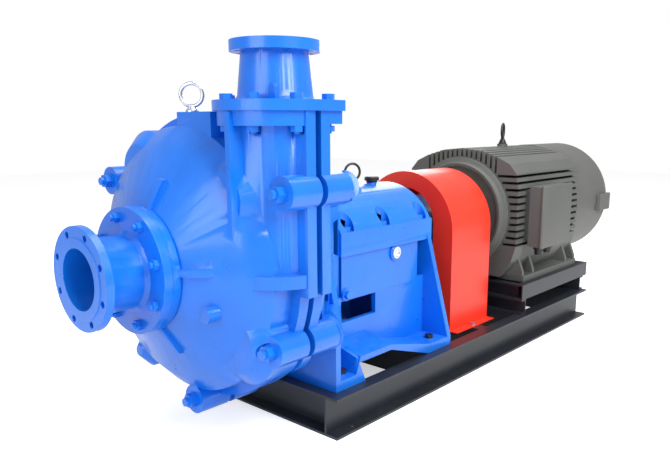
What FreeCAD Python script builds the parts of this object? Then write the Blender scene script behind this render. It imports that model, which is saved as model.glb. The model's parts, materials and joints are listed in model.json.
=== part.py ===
import FreeCAD, Part
import math
import os
from FreeCAD import Vector

# Horizontal lined slurry pump, close-coupled through a pin coupling to a foot-mounted motor on one base frame.
# Millimetres, +Z up. Stations along X are measured from the face of the suction flange, towards the motor.
# Y = 0 is the shaft's vertical plane and -Y the side of the discharge branch.
# Every piece is moved at the end so that the frame's origin is the centre of the foundation bolts.

# ---- driving dimensions ----------------------------------------------------------------------
shaft_z = 675.0
run_gap = 0.05
seat_gap = 0.3

base_front_x = 725.0
base_length = 2244.0
base_half_width = 429.0
channel_height = 160.0
channel_flange = 65.0
channel_web = 8.5
channel_thickness = 10.0
foundation_inset = 120.0
foundation_edge = 32.0
foundation_hole_r = 11.0

stand_height = 80.0
stand_flange = 43.0
stand_web = 6.0
stand_thickness = 8.0
stand_front_x = 2190.0
stand_length = 826.0
stand_half_width = 402.0

suction_flange_r = 170.0
suction_flange_t = 30.0
suction_bore_r = 100.0
suction_bolt_circle_r = 147.5
suction_bolt_count = 8
suction_hole_r = 11.0
suction_neck_r = 124.0
raised_face_r = 133.0
raised_face_h = 3.0

hub_x = 172.0
hub_flange_t = 32.0
hub_collar_t = 28.0
hub_r = 214.0
hub_bolt_circle_r = 182.0
hub_bolt_count = 8
hub_stud_r = 10.0
stud_depth = 22.0

discharge_x = 524.0
discharge_y = -357.0
discharge_flange_r = 143.0
discharge_flange_t = 34.0
discharge_bore_r = 75.0
discharge_bolt_circle_r = 120.0
discharge_bolt_count = 8
discharge_hole_r = 11.0
discharge_top_z = 1408.0
discharge_neck_top_r = 108.0
discharge_neck_low_r = 122.0

split_gap = 24.0
casing_r = 472.0
casing_flange_r = 512.0
casing_flange_t = 40.0
casing_wall = 30.0
casing_front_x = 330.0
casing_shoulder_r = 405.0
rear_wall_x = 655.0
box_r = 188.0
box_low_z = 648.0
box_top_z = 1193.0
box_flange_t = 45.0
box_shelf_t = 42.0
duct_r = 152.0
adapter_r = 202.0
adapter_t = 33.0
adapter_tail_x = 632.0
boss_r = 54.0
boss_front_x = 388.0
bolt_r = 15.0
nut_flats = 46.0
nut_height = 24.0
washer_t = 5.0
low_stud = 1
lug_thread = 40.0
through_bolts = ((463.0, 935.0), (-25.0, 160.0), (-455.0, 440.0), (-520.0, 949.0))
blind_boss_r = 36.0
blind_studs = ((250.0, 288.0), (-60.0, 1131.0))

liner_r = 436.0
liner_half_width = 97.0
liner_fit = 3.0
liner_duct_r = 112.0
throat_r = 128.0
tongue_r = 268.0
volute_growth = 190.0
passage_half_width = 60.0

impeller_r = 250.0
impeller_half_width = 52.0
shroud_t = 14.0
vane_count = 5
vane_t = 16.0
shaft_tip_r = 40.0
shaft_seal_r = 46.0
sleeve_r = 60.0
shaft_bearing_r = 50.0
shaft_mid_r = 62.0
shaft_end_r = 42.0
expeller_r = 160.0
expeller_t = 22.0
expeller_seat_r = 200.0
eye_shank_r = 12.0

bracket_wall_x = 774.0
bracket_wall_t = 26.0
bracket_foot_half = 380.0
bracket_foot_t = 40.0
bracket_end_x = 1546.0
housing_x = 943.0
housing_half = 254.0
housing_flange_t = 36.0
cover_flange_t = 58.0
cover_dome_r = 284.0
cover_dome_drop = 75.0
cover_wall = 22.0
sump_half = 238.0
sump_low_z = 455.0
web_half = 236.0

guard_x = 1690.0
guard_length = 349.0
guard_half = 281.0
guard_arch_z = 644.0
guard_sheet = 4.0
guard_opening_r = 171.0
guard_foot = 44.0
guard_bolt_r = 8.0

motor_foot_z = channel_height + 2 * stand_height
motor_front_x = 2191.0
motor_barrel_end_x = 2934.0
motor_tail_x = 3437.0
motor_core_r = 305.0
motor_fin_r = 349.0
motor_bore_r = 262.0
cowl_r = 350.0
cowl_sheet = 4.0
motor_foot_half = 365.0
motor_hole_y = 305.0
motor_hole_xs = (2318.0, 2878.0)
motor_bolt_r = 12.0
stand_bolt_mid = 24.0


# ---- plain building blocks ---------------------------------------------------------------------
AXIS_X = Vector(1, 0, 0)
AXIS_Z = Vector(0, 0, 1)
split_front = discharge_x - split_gap / 2
split_rear = discharge_x + split_gap / 2


def rod(x0, x1, radius, y=0.0, z=shaft_z):
    return Part.makeCylinder(radius, x1 - x0, Vector(x0, y, z), AXIS_X)


def post(z0, z1, radius, x, y):
    return Part.makeCylinder(radius, z1 - z0, Vector(x, y, z0), AXIS_Z)


def block(x0, x1, y0, y1, z0, z1):
    return Part.makeBox(x1 - x0, y1 - y0, z1 - z0, Vector(x0, y0, z0))


def prism(points, direction):
    """A flat closed outline pushed along a vector."""
    return Part.Face(Part.makePolygon(points + [points[0]])).extrude(direction)


def plate_yz(outline, x0, x1):
    return prism([Vector(x0, y, z) for y, z in outline], Vector(x1 - x0, 0, 0))


def plate_xz(outline, y0, y1):
    return prism([Vector(x, y0, z) for x, z in outline], Vector(0, y1 - y0, 0))


def plate_xy(outline, z0, z1):
    return prism([Vector(x, y, z0) for x, y in outline], Vector(0, 0, z1 - z0))


def turned(profile, y=0.0, z=shaft_z):
    """A solid of revolution about an axis along X; the profile is a list of (station, radius)."""
    points = [Vector(x, y, z + r) for x, r in profile]
    face = Part.Face(Part.makePolygon(points + [points[0]]))
    return face.revolve(Vector(0, y, z), AXIS_X, 360)


def turned_z(profile, x, y):
    """A solid of revolution about a vertical axis; the profile is a list of (radius, height)."""
    points = [Vector(x + r, y, z) for r, z in profile]
    face = Part.Face(Part.makePolygon(points + [points[0]]))
    return face.revolve(Vector(x, y, 0), AXIS_Z, 360)


def hexagon(flats, phase=0.0):
    corner = flats / math.sqrt(3)
    angles = [math.radians(60 * i + phase) for i in range(6)]
    return [(corner * math.cos(a), corner * math.sin(a)) for a in angles]


def hex_x(x0, x1, y, z, flats):
    return plate_yz([(y + a, z + b) for a, b in hexagon(flats)], x0, x1)


def hex_z(z0, z1, x, y, flats):
    return plate_xy([(x + a, y + b) for a, b in hexagon(flats, 30)], z0, z1)


def on_circle(radius, count, phase=0.0):
    angles = [math.radians(phase + 360.0 * i / count) for i in range(count)]
    return [(radius * math.cos(a), radius * math.sin(a)) for a in angles]


def fused(shapes):
    first = shapes[0]
    return first.fuse(shapes[1:]).removeSplitter() if len(shapes) > 1 else first


def both_sides(shape):
    """The shape and its mirror image across the shaft's vertical plane."""
    return [shape, shape.mirror(Vector(0, 0, 0), Vector(0, 1, 0))]


# ---- base frame and motor stand ----------------------------------------------------------------
base_end_x = base_front_x + base_length
stand_end_x = stand_front_x + stand_length
frame_x = base_front_x + base_length / 2
stand_z = channel_height + stand_height
foundation_xs = (base_front_x + foundation_inset, base_end_x - foundation_inset)
foundation_y = base_half_width - foundation_edge
pedestal_bolt_xs = (bracket_wall_x + 92.0, bracket_end_x - 90.0)
pedestal_bolt_y = 322.0
pedestal_bolt_r = 12.0
guard_bolt_x = guard_x + guard_length / 2
guard_bolt_y = guard_half + guard_foot / 2
cross_flange_mid = channel_flange / 2 + 4.0


def channel_section(height, flange, web, thickness):
    """Half outline of a rolled channel: distance from the back of the web, and height."""
    return [(0, 0), (flange, 0), (flange, thickness), (web, thickness),
            (web, height - thickness), (flange, height - thickness), (flange, height), (0, height)]


def channel_along_x(x0, x1, back_y, side, z0, section):
    return plate_yz([(back_y + side * a, z0 + b) for a, b in section], x0, x1)


def channel_along_y(y0, y1, back_x, side, z0, section):
    return plate_xz([(back_x + side * a, z0 + b) for a, b in section], y0, y1)


def base_side_rails():
    section = channel_section(channel_height, channel_flange, channel_web, channel_thickness)
    back = base_half_width - channel_flange
    rails = []
    for side in (1, -1):
        rail = channel_along_x(base_front_x, base_end_x, side * back, side, 0, section)
        for x in foundation_xs:
            rail = rail.cut(post(-1, channel_thickness + 1, foundation_hole_r, x, side * foundation_y))
        rails.append(rail)
    return rails


def base_cross_channels():
    section = channel_section(channel_height, channel_flange, channel_web, channel_thickness)
    reach = base_half_width - channel_flange
    pedestal = [x - cross_flange_mid for x in pedestal_bolt_xs]
    members = [(base_front_x + channel_flange, -1), (pedestal[0], 1), (pedestal[1], 1),
               (guard_bolt_x - cross_flange_mid, 1), (stand_front_x, 1), (base_end_x - channel_flange, 1)]
    channels = [channel_along_y(-reach, reach, x, side, 0, section) for x, side in members]
    for i, x in enumerate(pedestal_bolt_xs):
        for y in (-pedestal_bolt_y, pedestal_bolt_y):
            hole = post(channel_height - channel_thickness - 1, channel_height + 1, pedestal_bolt_r + 1, x, y)
            channels[1 + i] = channels[1 + i].cut(hole)
    for y in (-guard_bolt_y, guard_bolt_y):
        hole = post(channel_height - channel_thickness - 1, channel_height + 1, guard_bolt_r + 1, guard_bolt_x, y)
        channels[3] = channels[3].cut(hole)
    return channels


def stand_packers():
    section = channel_section(stand_height, stand_flange, stand_web, stand_thickness)
    front = channel_along_y(-stand_half_width, stand_half_width, stand_front_x + stand_flange, -1, channel_height, section)
    rear = channel_along_y(-stand_half_width, stand_half_width, base_end_x - stand_flange, 1, channel_height, section)
    return [front, rear]


def stand_side_beams():
    section = channel_section(stand_height, stand_flange, stand_web, stand_thickness)
    return [channel_along_x(stand_front_x, stand_end_x, side * stand_half_width, -side, stand_z, section)
            for side in (1, -1)]


def stand_cross_beams():
    """Channels between the side beams: one closes each end, one lies under each pair of motor bolts."""
    section = channel_section(stand_height, stand_flange, stand_web, stand_thickness)
    reach = stand_half_width - stand_flange
    members = [(stand_front_x + stand_flange, -1), (motor_hole_xs[0] - stand_bolt_mid, 1),
               (motor_hole_xs[1] - stand_bolt_mid, 1), (stand_end_x - stand_flange, 1)]
    beams = [channel_along_y(-reach, reach, x, side, stand_z, section) for x, side in members]
    for i, x in enumerate(motor_hole_xs):
        for y in (-motor_hole_y, motor_hole_y):
            hole = post(motor_foot_z - stand_thickness - 1, motor_foot_z + 1, motor_bolt_r + 1, x, y)
            beams[1 + i] = beams[1 + i].cut(hole)
    return beams


# ---- suction branch --------------------------------------------------------------------------------
hub_end_x = hub_x + hub_flange_t
collar_end_x = hub_end_x + hub_collar_t
hub_bolt_phase = 15.0


def suction_spool():
    spool = turned([(0, suction_bore_r), (0, raised_face_r), (raised_face_h, raised_face_r),
                    (raised_face_h, suction_flange_r), (suction_flange_t, suction_flange_r),
                    (suction_flange_t, suction_neck_r + 8), (suction_flange_t + 14, suction_neck_r),
                    (hub_x - 14, suction_neck_r), (hub_x, suction_neck_r + 12), (hub_x, hub_r),
                    (hub_end_x, hub_r), (hub_end_x, suction_bore_r)])
    for y, z in on_circle(suction_bolt_circle_r, suction_bolt_count, 180.0 / suction_bolt_count):
        spool = spool.cut(rod(-1, suction_flange_t + 1, suction_hole_r, y, shaft_z + z))
    for y, z in on_circle(hub_bolt_circle_r, hub_bolt_count, hub_bolt_phase):
        spool = spool.cut(rod(hub_x - 1, hub_end_x + 1, hub_stud_r + 1, -y, shaft_z + z))
    return spool


def suction_studs():
    """Studs screwed into the casing hub, each with its nut in one piece as tightened."""
    studs = []
    for y, z in on_circle(hub_bolt_circle_r, hub_bolt_count, hub_bolt_phase):
        shank = rod(hub_x - 28, hub_end_x + stud_depth, hub_stud_r, -y, shaft_z + z)
        nut = hex_x(hub_x - 17, hub_x, -y, shaft_z + z, 32.0)
        studs.append(shank.fuse(nut))
    return studs


# ---- discharge branch ------------------------------------------------------------------------------
adapter_z = box_top_z + adapter_t
adapter_bolt_r = 10.0
adapter_bolts = ((discharge_x - 150.0, discharge_y - 62.0), (discharge_x - 62.0, discharge_y - 160.0),
                 (discharge_x - 150.0, discharge_y + 62.0), (discharge_x - 62.0, discharge_y + 160.0))
tail_bolts = ((adapter_tail_x - 34.0, discharge_y - 160.0), (adapter_tail_x - 34.0, discharge_y + 160.0))


def discharge_outline(radius, x_end):
    """Plan of the discharge flanges: a half round towards the suction side and a square tail at x_end."""
    y0 = discharge_y - radius
    y1 = discharge_y + radius
    arc = Part.Arc(Vector(discharge_x, y1, 0), Vector(discharge_x - radius, discharge_y, 0),
                   Vector(discharge_x, y0, 0)).toShape()
    tail = Part.makePolygon([Vector(discharge_x, y0, 0), Vector(x_end, y0, 0),
                             Vector(x_end, y1, 0), Vector(discharge_x, y1, 0)])
    return Part.Wire([arc] + tail.Edges)


def discharge_slab(radius, x_end, z0, z1):
    face = Part.Face(discharge_outline(radius, x_end))
    return face.extrude(Vector(0, 0, z1 - z0)).translated(Vector(0, 0, z0))


def discharge_spool():
    neck_z = discharge_top_z - discharge_flange_t
    pipe = turned_z([(0, adapter_z - 2), (discharge_neck_low_r + 10, adapter_z - 2),
                     (discharge_neck_low_r + 10, adapter_z), (discharge_neck_low_r, adapter_z + 14),
                     (discharge_neck_top_r, neck_z), (discharge_flange_r, neck_z),
                     (discharge_flange_r, discharge_top_z), (0, discharge_top_z)], discharge_x, discharge_y)
    spool = discharge_slab(adapter_r, adapter_tail_x, box_top_z, adapter_z).fuse(pipe)
    lug = plate_yz([(-18, 0), (18, 0), (13, 34), (-13, 34)], -7, 7)
    lug = lug.fuse(rod(-7, 7, 13.5, 0, 34)).translated(Vector(discharge_x - 105, discharge_y - 105, adapter_z - 1))
    spool = spool.fuse(lug)
    spool = spool.cut(post(box_top_z - 1, discharge_top_z + 1, discharge_bore_r, discharge_x, discharge_y))
    for x, y in on_circle(discharge_bolt_circle_r, discharge_bolt_count, 180.0 / discharge_bolt_count):
        hole = post(neck_z - 1, discharge_top_z + 1, discharge_hole_r, discharge_x + x, discharge_y + y)
        spool = spool.cut(hole)
    for x, y in adapter_bolts + tail_bolts:
        spool = spool.cut(post(box_top_z - 1, adapter_z + 1, adapter_bolt_r + 1, x, y))
    return spool.removeSplitter()


def adapter_bolt_set():
    """Hex bolts that hold the discharge spool to the casing flanges, each with the nut under its flange."""
    bolts = []
    for x, y in adapter_bolts + tail_bolts:
        low = box_top_z - box_flange_t
        bolt = post(low - 24, adapter_z + 2, adapter_bolt_r, x, y)
        bolt = bolt.fuse([hex_z(adapter_z, adapter_z + 19, x, y, 36.0), hex_z(low - 18, low, x, y, 36.0)])
        bolts.append(bolt)
    return bolts


# ---- casings ---------------------------------------------------------------------------------------
lobes = ((188.0, 990.0, 140.0), (-290.0, 915.0, 140.0), (-325.0, 440.0, 140.0), (262.0, 292.0, 70.0))
lobe_front_x = 346.0
lobe_chamfer = 48.0
rib_count = 5
rib_phase = 4.0
rib_t = 27.0
pad_front_x = 396.0
pad_y = (-182.0, 4.0)
cavity_r = liner_r + liner_fit
cavity_front_x = discharge_x - liner_half_width - liner_fit
cavity_rear_x = discharge_x + liner_half_width + liner_fit
eye_x = 446.0
eye_y = -16.0


def lobe_front(y, z, r):
    c = lobe_chamfer
    return turned([(lobe_front_x, 0), (lobe_front_x, r - c), (lobe_front_x + c, r), (split_front, r), (split_front, 0)],
                  y, z)


def hub_ribs():
    """Radial gussets between the hub collar and the conical front wall."""
    profile = [(collar_end_x - 8, hub_r - 20), (collar_end_x - 8, hub_r), (collar_end_x + 34, hub_r + 96),
               (collar_end_x + 78, hub_r + 100), (collar_end_x + 50, hub_r - 20)]
    ribs = []
    for i in range(rib_count):
        rib = plate_xz([(x, r) for x, r in profile], -rib_t / 2, rib_t / 2)
        rib = rib.rotate(Vector(0, 0, 0), AXIS_X, 90 - rib_phase - i * 360.0 / rib_count)
        ribs.append(rib.translated(Vector(0, 0, shaft_z)))
    return ribs


def discharge_box(x_end):
    """Round duct with its top flange, bottom shelf and nose rib, left of the split plane."""
    duct = post(box_low_z, box_top_z, duct_r, discharge_x, discharge_y)
    top = post(box_top_z - box_flange_t, box_top_z, box_r, discharge_x, discharge_y)
    shelf = post(box_low_z, box_low_z + box_shelf_t, box_r, discharge_x, discharge_y)
    nose = block(discharge_x - box_r - 14, discharge_x - duct_r + 20, discharge_y - 13, discharge_y + 10,
                 box_low_z, box_top_z - 4)
    keep = block(0, x_end, discharge_y - 400, discharge_y + 400, 0, box_top_z + 1)
    return [shape.common(keep) for shape in (duct, top, shelf, nose)]


def split_flange(x0, x1):
    """The flange along the split plane: round below, square beside the discharge duct."""
    disc = rod(x0, x1, casing_flange_r)
    upper = block(x0, x1, discharge_y - box_r, discharge_y + box_r, shaft_z - 60, box_top_z)
    bulge = [rod(x0, x1, r, y, z) for y, z, r in lobes]
    return [disc, upper] + bulge


def bolt_bosses(x0, x1):
    return [rod(x0, x1, boss_r, y, z) for y, z in through_bolts]


def front_casing():
    shell = turned([(hub_end_x, 0), (hub_end_x, hub_r), (collar_end_x, hub_r), (collar_end_x, hub_r - 14),
                    (casing_front_x, casing_shoulder_r), (casing_front_x + 66, casing_r), (split_front, casing_r),
                    (split_front, 0)])
    pieces = hub_ribs() + discharge_box(split_front) + split_flange(split_front - casing_flange_t, split_front)
    pieces += bolt_bosses(boss_front_x, split_front) + [lobe_front(y, z, r) for y, z, r in lobes]
    pieces += [block(pad_front_x, split_front, pad_y[0], pad_y[1], shaft_z, box_top_z)]
    pieces += [rod(collar_end_x + 20, casing_front_x + 40, 26, -300, 560)]
    shell = shell.fuse(pieces)
    cone_shift = casing_wall + 5.0
    cavity = turned([(hub_end_x - 1, 0), (hub_end_x - 1, throat_r + liner_fit), (collar_end_x, throat_r + liner_fit),
                     (casing_front_x + cone_shift, casing_shoulder_r - 10), (cavity_front_x + 4, cavity_r),
                     (split_front + 1, cavity_r), (split_front + 1, 0)])
    shell = shell.cut(cavity)
    shell = shell.cut(post(shaft_z, box_top_z + 1, liner_duct_r + liner_fit, discharge_x, discharge_y))
    shell = shell.cut([rod(boss_front_x - 1, split_front + 1, bolt_r + 1, y, z) for y, z in through_bolts])
    shell = shell.cut([rod(lobe_front_x - 1, boss_front_x, nut_flats * 0.7, y, z) for y, z in through_bolts])
    shell = shell.cut([rod(split_front - 60, split_front + 1, bolt_r, y, z) for y, z in blind_studs])
    studs = on_circle(hub_bolt_circle_r, hub_bolt_count, hub_bolt_phase)
    shell = shell.cut([rod(hub_end_x - 1, hub_end_x + stud_depth + 2, hub_stud_r, -y, shaft_z + z) for y, z in studs])
    holes = [post(box_top_z - box_flange_t - 1, box_top_z + 1, adapter_bolt_r + 1, x, y) for x, y in adapter_bolts]
    shell = shell.cut(holes + [post(box_top_z - 40, box_top_z + 1, eye_shank_r, eye_x, eye_y)])
    low = box_top_z - box_flange_t
    shell = shell.cut([post(low - 24, low, 23, x, y) for x, y in adapter_bolts])
    return shell.removeSplitter()


def rear_casing():
    shell = turned([(split_rear, 0), (split_rear, casing_r), (cavity_rear_x + 6, casing_r),
                    (rear_wall_x, casing_r - 46), (rear_wall_x, 0)])
    pieces = split_flange(split_rear, split_rear + casing_flange_t)
    pieces += [rod(split_rear, rear_wall_x, boss_r, y, z) for y, z in through_bolts]
    pieces += [rod(split_rear, rear_wall_x, blind_boss_r, y, z) for y, z in blind_studs]
    pieces += [block(split_rear, adapter_tail_x, discharge_y - box_r, discharge_y + box_r,
                     box_top_z - box_flange_t + 5, box_top_z)]
    duct = post(shaft_z + 60, box_top_z, duct_r, discharge_x, discharge_y)
    duct = duct.common(block(split_rear, 900, -900, 900, 0, 1400))
    pieces += [duct.cut(block(rear_wall_x, 900, -900, 900, 0, neck_front[2] + 6))]
    shell = shell.fuse(pieces)
    cavity = rod(split_rear - 1, cavity_rear_x, cavity_r)
    shell = shell.cut([cavity, rod(cavity_rear_x - 1, rear_wall_x + 1, expeller_seat_r)])
    shell = shell.cut(post(shaft_z, box_top_z + 1, liner_duct_r + liner_fit, discharge_x, discharge_y))
    bolts = through_bolts + blind_studs
    shell = shell.cut([rod(split_rear - 1, rear_wall_x + 1, bolt_r + 1, y, z) for y, z in bolts])
    low = box_top_z - box_flange_t
    shell = shell.cut([post(low - 40, box_top_z + 1, adapter_bolt_r + 1, x, y) for x, y in tail_bolts])
    return shell.removeSplitter()


def casing_studs():
    """Long studs that clamp both casings to the bracket's lugs, each with its washer and nut at the front."""
    nut_x = boss_front_x - washer_t
    studs = []
    for i, (y, z) in enumerate(through_bolts):
        end = rear_wall_x - 12 if i == low_stud else bracket_x + lug_thread
        stud = rod(nut_x - nut_height - 14, end, bolt_r, y, z)
        stud = stud.fuse([rod(nut_x, boss_front_x, nut_flats * 0.62, y, z),
                          hex_x(nut_x - nut_height, nut_x, y, z, nut_flats)])
        studs.append(stud)
    for y, z in blind_studs:
        stud = rod(split_front - 55, rear_wall_x + nut_height + 10, bolt_r, y, z)
        studs.append(stud.fuse(hex_x(rear_wall_x, rear_wall_x + nut_height, y, z, nut_flats)))
    return studs


# ---- wet end: liners and impeller ------------------------------------------------------------------
liner_front_x = discharge_x - liner_half_width
liner_rear_x = discharge_x + liner_half_width
liner_eye_r = 262.0
liner_seat_r = liner_eye_r - seat_gap
impeller_front_x = discharge_x - impeller_half_width
impeller_rear_x = discharge_x + impeller_half_width
vane_inner_r = 104.0
vane_sweep = 74.0
hub_end = impeller_rear_x + 26.0


def volute_spiral(x0, x1):
    """The flow passage seen along the shaft: a radius that grows evenly from the tongue round to the throat."""
    start = 50.0
    sweep = 310.0
    steps = 8
    points = []
    for i in range(steps + 1):
        angle = math.radians(start + sweep * i / steps)
        radius = tongue_r + volute_growth * i * sweep / steps / 360.0
        points.append(Vector(x0, -radius * math.cos(angle), shaft_z + radius * math.sin(angle)))
    curve = Part.BSplineCurve()
    curve.interpolate(points)
    wall_y = points[-1].y
    top = shaft_z + tongue_r * 0.9
    tongue = Vector(x0, discharge_y + discharge_bore_r, top)
    closing = Part.makePolygon([points[-1], Vector(x0, wall_y, top), tongue, points[0]])
    face = Part.Face(Part.Wire([curve.toShape()] + closing.Edges))
    return face.extrude(Vector(x1 - x0, 0, 0))


def volute_liner():
    body = rod(liner_front_x, liner_rear_x, liner_r)
    duct = post(shaft_z, box_top_z, liner_duct_r, discharge_x, discharge_y)
    clear_r = casing_shoulder_r - 10
    body = body.fuse(duct.cut([rod(liner_front_x - 60, liner_front_x, clear_r),
                               rod(liner_rear_x, liner_rear_x + 60, clear_r)]))
    body = body.cut(volute_spiral(discharge_x - passage_half_width, discharge_x + passage_half_width))
    body = body.cut([rod(liner_front_x - 1, liner_rear_x + 1, liner_eye_r),
                     post(shaft_z + 40, box_top_z + 1, discharge_bore_r, discharge_x, discharge_y)])
    return body.removeSplitter()


def front_liner():
    """Cone-backed wear plate with the throat bush that leads from the suction branch to the impeller's eye."""
    step = liner_fit + 1
    return turned([(hub_end_x + liner_fit, suction_bore_r), (hub_end_x + liner_fit, throat_r),
                   (collar_end_x + step, throat_r), (casing_front_x + casing_wall + 8, casing_shoulder_r - 16),
                   (liner_front_x - seat_gap, casing_shoulder_r - 16), (liner_front_x - seat_gap, liner_seat_r),
                   (impeller_front_x - 6, liner_seat_r), (impeller_front_x - 6, suction_bore_r)])


def rear_liner():
    back_x = cavity_rear_x - seat_gap
    return turned([(impeller_rear_x + 6, hub_bore_r), (impeller_rear_x + 6, liner_seat_r),
                   (back_x, liner_seat_r), (back_x, expeller_seat_r - 4),
                   (expeller_ring_x - liner_fit, expeller_seat_r - 4), (expeller_ring_x - liner_fit, hub_bore_r)])


def impeller_vane(x0, x1):
    """One backward-curved vane between two arcs, thicker at its root than at its tip."""
    faces = []
    for half, inner, outer in ((1, vane_t * 0.6, vane_t * 0.4), (-1, -vane_t * 0.6, -vane_t * 0.4)):
        ring = []
        for share in (0.0, 0.5, 1.0):
            radius = vane_inner_r + (impeller_r - 1 - vane_inner_r) * share
            angle = math.radians(vane_sweep * share ** 0.8)
            width = inner + (outer - inner) * share
            turn = angle + width / radius
            ring.append(Vector(x0, radius * math.cos(turn), shaft_z + radius * math.sin(turn)))
        faces.append(ring)
    near, far = faces
    edges = [Part.Arc(*near).toShape(), Part.makeLine(near[2], far[2]),
             Part.Arc(far[2], far[1], far[0]).toShape(), Part.makeLine(far[0], near[0])]
    return Part.Face(Part.Wire(edges)).extrude(Vector(x1 - x0, 0, 0))


def impeller():
    front = turned([(impeller_front_x, suction_bore_r - 2), (impeller_front_x, impeller_r),
                    (impeller_front_x + shroud_t, impeller_r), (impeller_front_x + shroud_t, suction_bore_r - 2)])
    back_x = impeller_rear_x - shroud_t
    back = turned([(discharge_x - 8, 0), (discharge_x + 4, 34), (back_x - 18, 62), (back_x, 84), (back_x, impeller_r),
                   (impeller_rear_x, impeller_r), (impeller_rear_x, hub_bore_r - 4), (hub_end, hub_bore_r - 4),
                   (hub_end, 0)])
    vanes = []
    for i in range(vane_count):
        vane = impeller_vane(impeller_front_x + shroud_t / 2, impeller_rear_x - shroud_t / 2)
        vanes.append(vane.rotate(Vector(0, 0, shaft_z), AXIS_X, 360.0 * i / vane_count))
    wheel = back.fuse([front] + vanes)
    return wheel.cut(rod(shaft_tip_x - 2, hub_end + 1, shaft_tip_r)).removeSplitter()


# ---- shaft seal --------------------------------------------------------------------------------------
shaft_tip_x = discharge_x + 20.0
hub_bore_r = 68.0
expeller_ring_x = 643.0
expeller_x = 652.0
expeller_chamber_x = 706.0
box_face_x = 740.0
packing_r = 80.0
packing_width = 16.0
packing_count = 4
packing_x = 752.0
gland_x = packing_x + packing_count * packing_width + 4.0
box_end_x = gland_x + 14.0
gland_stud_r = 8.0
gland_stud_y = 108.0
gland_travel = 10.0
sleeve_end_x = 905.0


def expeller():
    """Seal impeller behind the back plate: a disc with straight radial vanes on its rear face."""
    disc = turned([(expeller_x, shaft_seal_r), (expeller_x, expeller_r), (expeller_x + 14, expeller_r),
                   (expeller_x + 14, sleeve_r + 8), (expeller_x + expeller_t + 18, sleeve_r + 8),
                   (expeller_x + expeller_t + 18, shaft_seal_r)])
    vanes = []
    for i in range(6):
        vane = block(expeller_x + 12, expeller_x + 14 + expeller_t, -5, 5, sleeve_r + 4, expeller_r - 3)
        vanes.append(vane.rotate(Vector(0, 0, 0), AXIS_X, 60.0 * i).translated(Vector(0, 0, shaft_z)))
    return disc.fuse(vanes).removeSplitter()


def expeller_ring():
    inner = expeller_r + 6
    return turned([(expeller_ring_x, inner), (expeller_ring_x, expeller_seat_r - seat_gap),
                   (rear_wall_x, expeller_seat_r - seat_gap), (rear_wall_x, expeller_seat_r + 9),
                   (rear_wall_x + 12, expeller_seat_r + 9), (box_face_x, expeller_seat_r - 10),
                   (box_face_x, packing_r), (expeller_chamber_x, packing_r), (expeller_chamber_x, inner)])


def stuffing_box():
    box = turned([(expeller_chamber_x + 4, sleeve_r + 3), (expeller_chamber_x + 4, packing_r - seat_gap),
                  (box_face_x, packing_r - seat_gap), (box_face_x, packing_r + 45), (box_face_x + 14, packing_r + 45),
                  (box_face_x + 14, packing_r + 14), (box_end_x, packing_r + 14), (box_end_x, packing_r),
                  (packing_x - 2, packing_r), (packing_x - 2, sleeve_r + 3)])
    holes = [rod(box_face_x - 1, box_face_x + 15, gland_stud_r, y, shaft_z) for y in (-gland_stud_y, gland_stud_y)]
    return box.cut(holes)


def packing_rings():
    """Square packing rings side by side round the sleeve."""
    rings = []
    for i in range(packing_count):
        x = packing_x + i * packing_width
        rings.append(turned([(x, sleeve_r + seat_gap), (x, packing_r - seat_gap),
                             (x + packing_width - seat_gap, packing_r - seat_gap),
                             (x + packing_width - seat_gap, sleeve_r + seat_gap)]))
    return rings


def packing_gland():
    """Follower with a two-eared flange that presses the packing."""
    bush = turned([(gland_x, sleeve_r + 2), (gland_x, packing_r - 0.5), (box_end_x + 12, packing_r - 0.5),
                   (box_end_x + 12, packing_r + 6), (box_end_x + 28, packing_r + 6), (box_end_x + 28, sleeve_r + 2)])
    ears = plate_yz([(-gland_stud_y - 18, -16), (gland_stud_y + 18, -16), (gland_stud_y + 18, 16),
                     (-gland_stud_y - 18, 16)], box_end_x + 12, box_end_x + 28).translated(Vector(0, 0, shaft_z))
    gland = bush.fuse(ears.cut(rod(box_end_x, box_end_x + 40, packing_r)))
    holes = [rod(box_end_x, box_end_x + 40, gland_stud_r + 1, y, shaft_z) for y in (-gland_stud_y, gland_stud_y)]
    return gland.cut(holes).removeSplitter()


def gland_studs():
    return [rod(box_face_x + 0.5, box_end_x + 28 + 30, gland_stud_r - seat_gap, y, shaft_z)
            for y in (-gland_stud_y, gland_stud_y)]


def gland_nuts():
    nuts = []
    for y in (-gland_stud_y, gland_stud_y):
        nut = hex_x(box_end_x + 28, box_end_x + 40, y, shaft_z, 24.0)
        nuts.append(nut.cut(rod(box_end_x, box_end_x + 60, gland_stud_r, y, shaft_z)))
    return nuts


def shaft_sleeve():
    start = expeller_x + expeller_t + 18 + 1
    return turned([(start, shaft_seal_r + run_gap), (start, sleeve_r), (sleeve_end_x, sleeve_r),
                   (sleeve_end_x, shaft_seal_r + run_gap)])


# ---- rotor and bearings ------------------------------------------------------------------------------
bearing_width = 34.0
bearing_inset = 8.0
bearing_outer_r = 92.0
roller_r = 8.5
roller_pitch_r = 71.0
roller_count = 10
front_bearing_x = housing_x + bearing_inset
rear_bearing_x = bracket_end_x - bearing_inset - bearing_width
cap_bore_r = 54.0
cap_t = 12.0
shaft_shoulder_r = 60.0
key_top = 48.0
coupling_gap_x = 1860.0
coupling_gap = 4.0
coupling_length = 96.0
coupling_flange_t = 28.0
coupling_r = 125.0
coupling_hub_r = 70.0
pin_circle_r = 98.0
pin_count = 6
pin_r = 9.0
bush_r = 15.0
motor_shaft_r = 47.5


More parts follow.
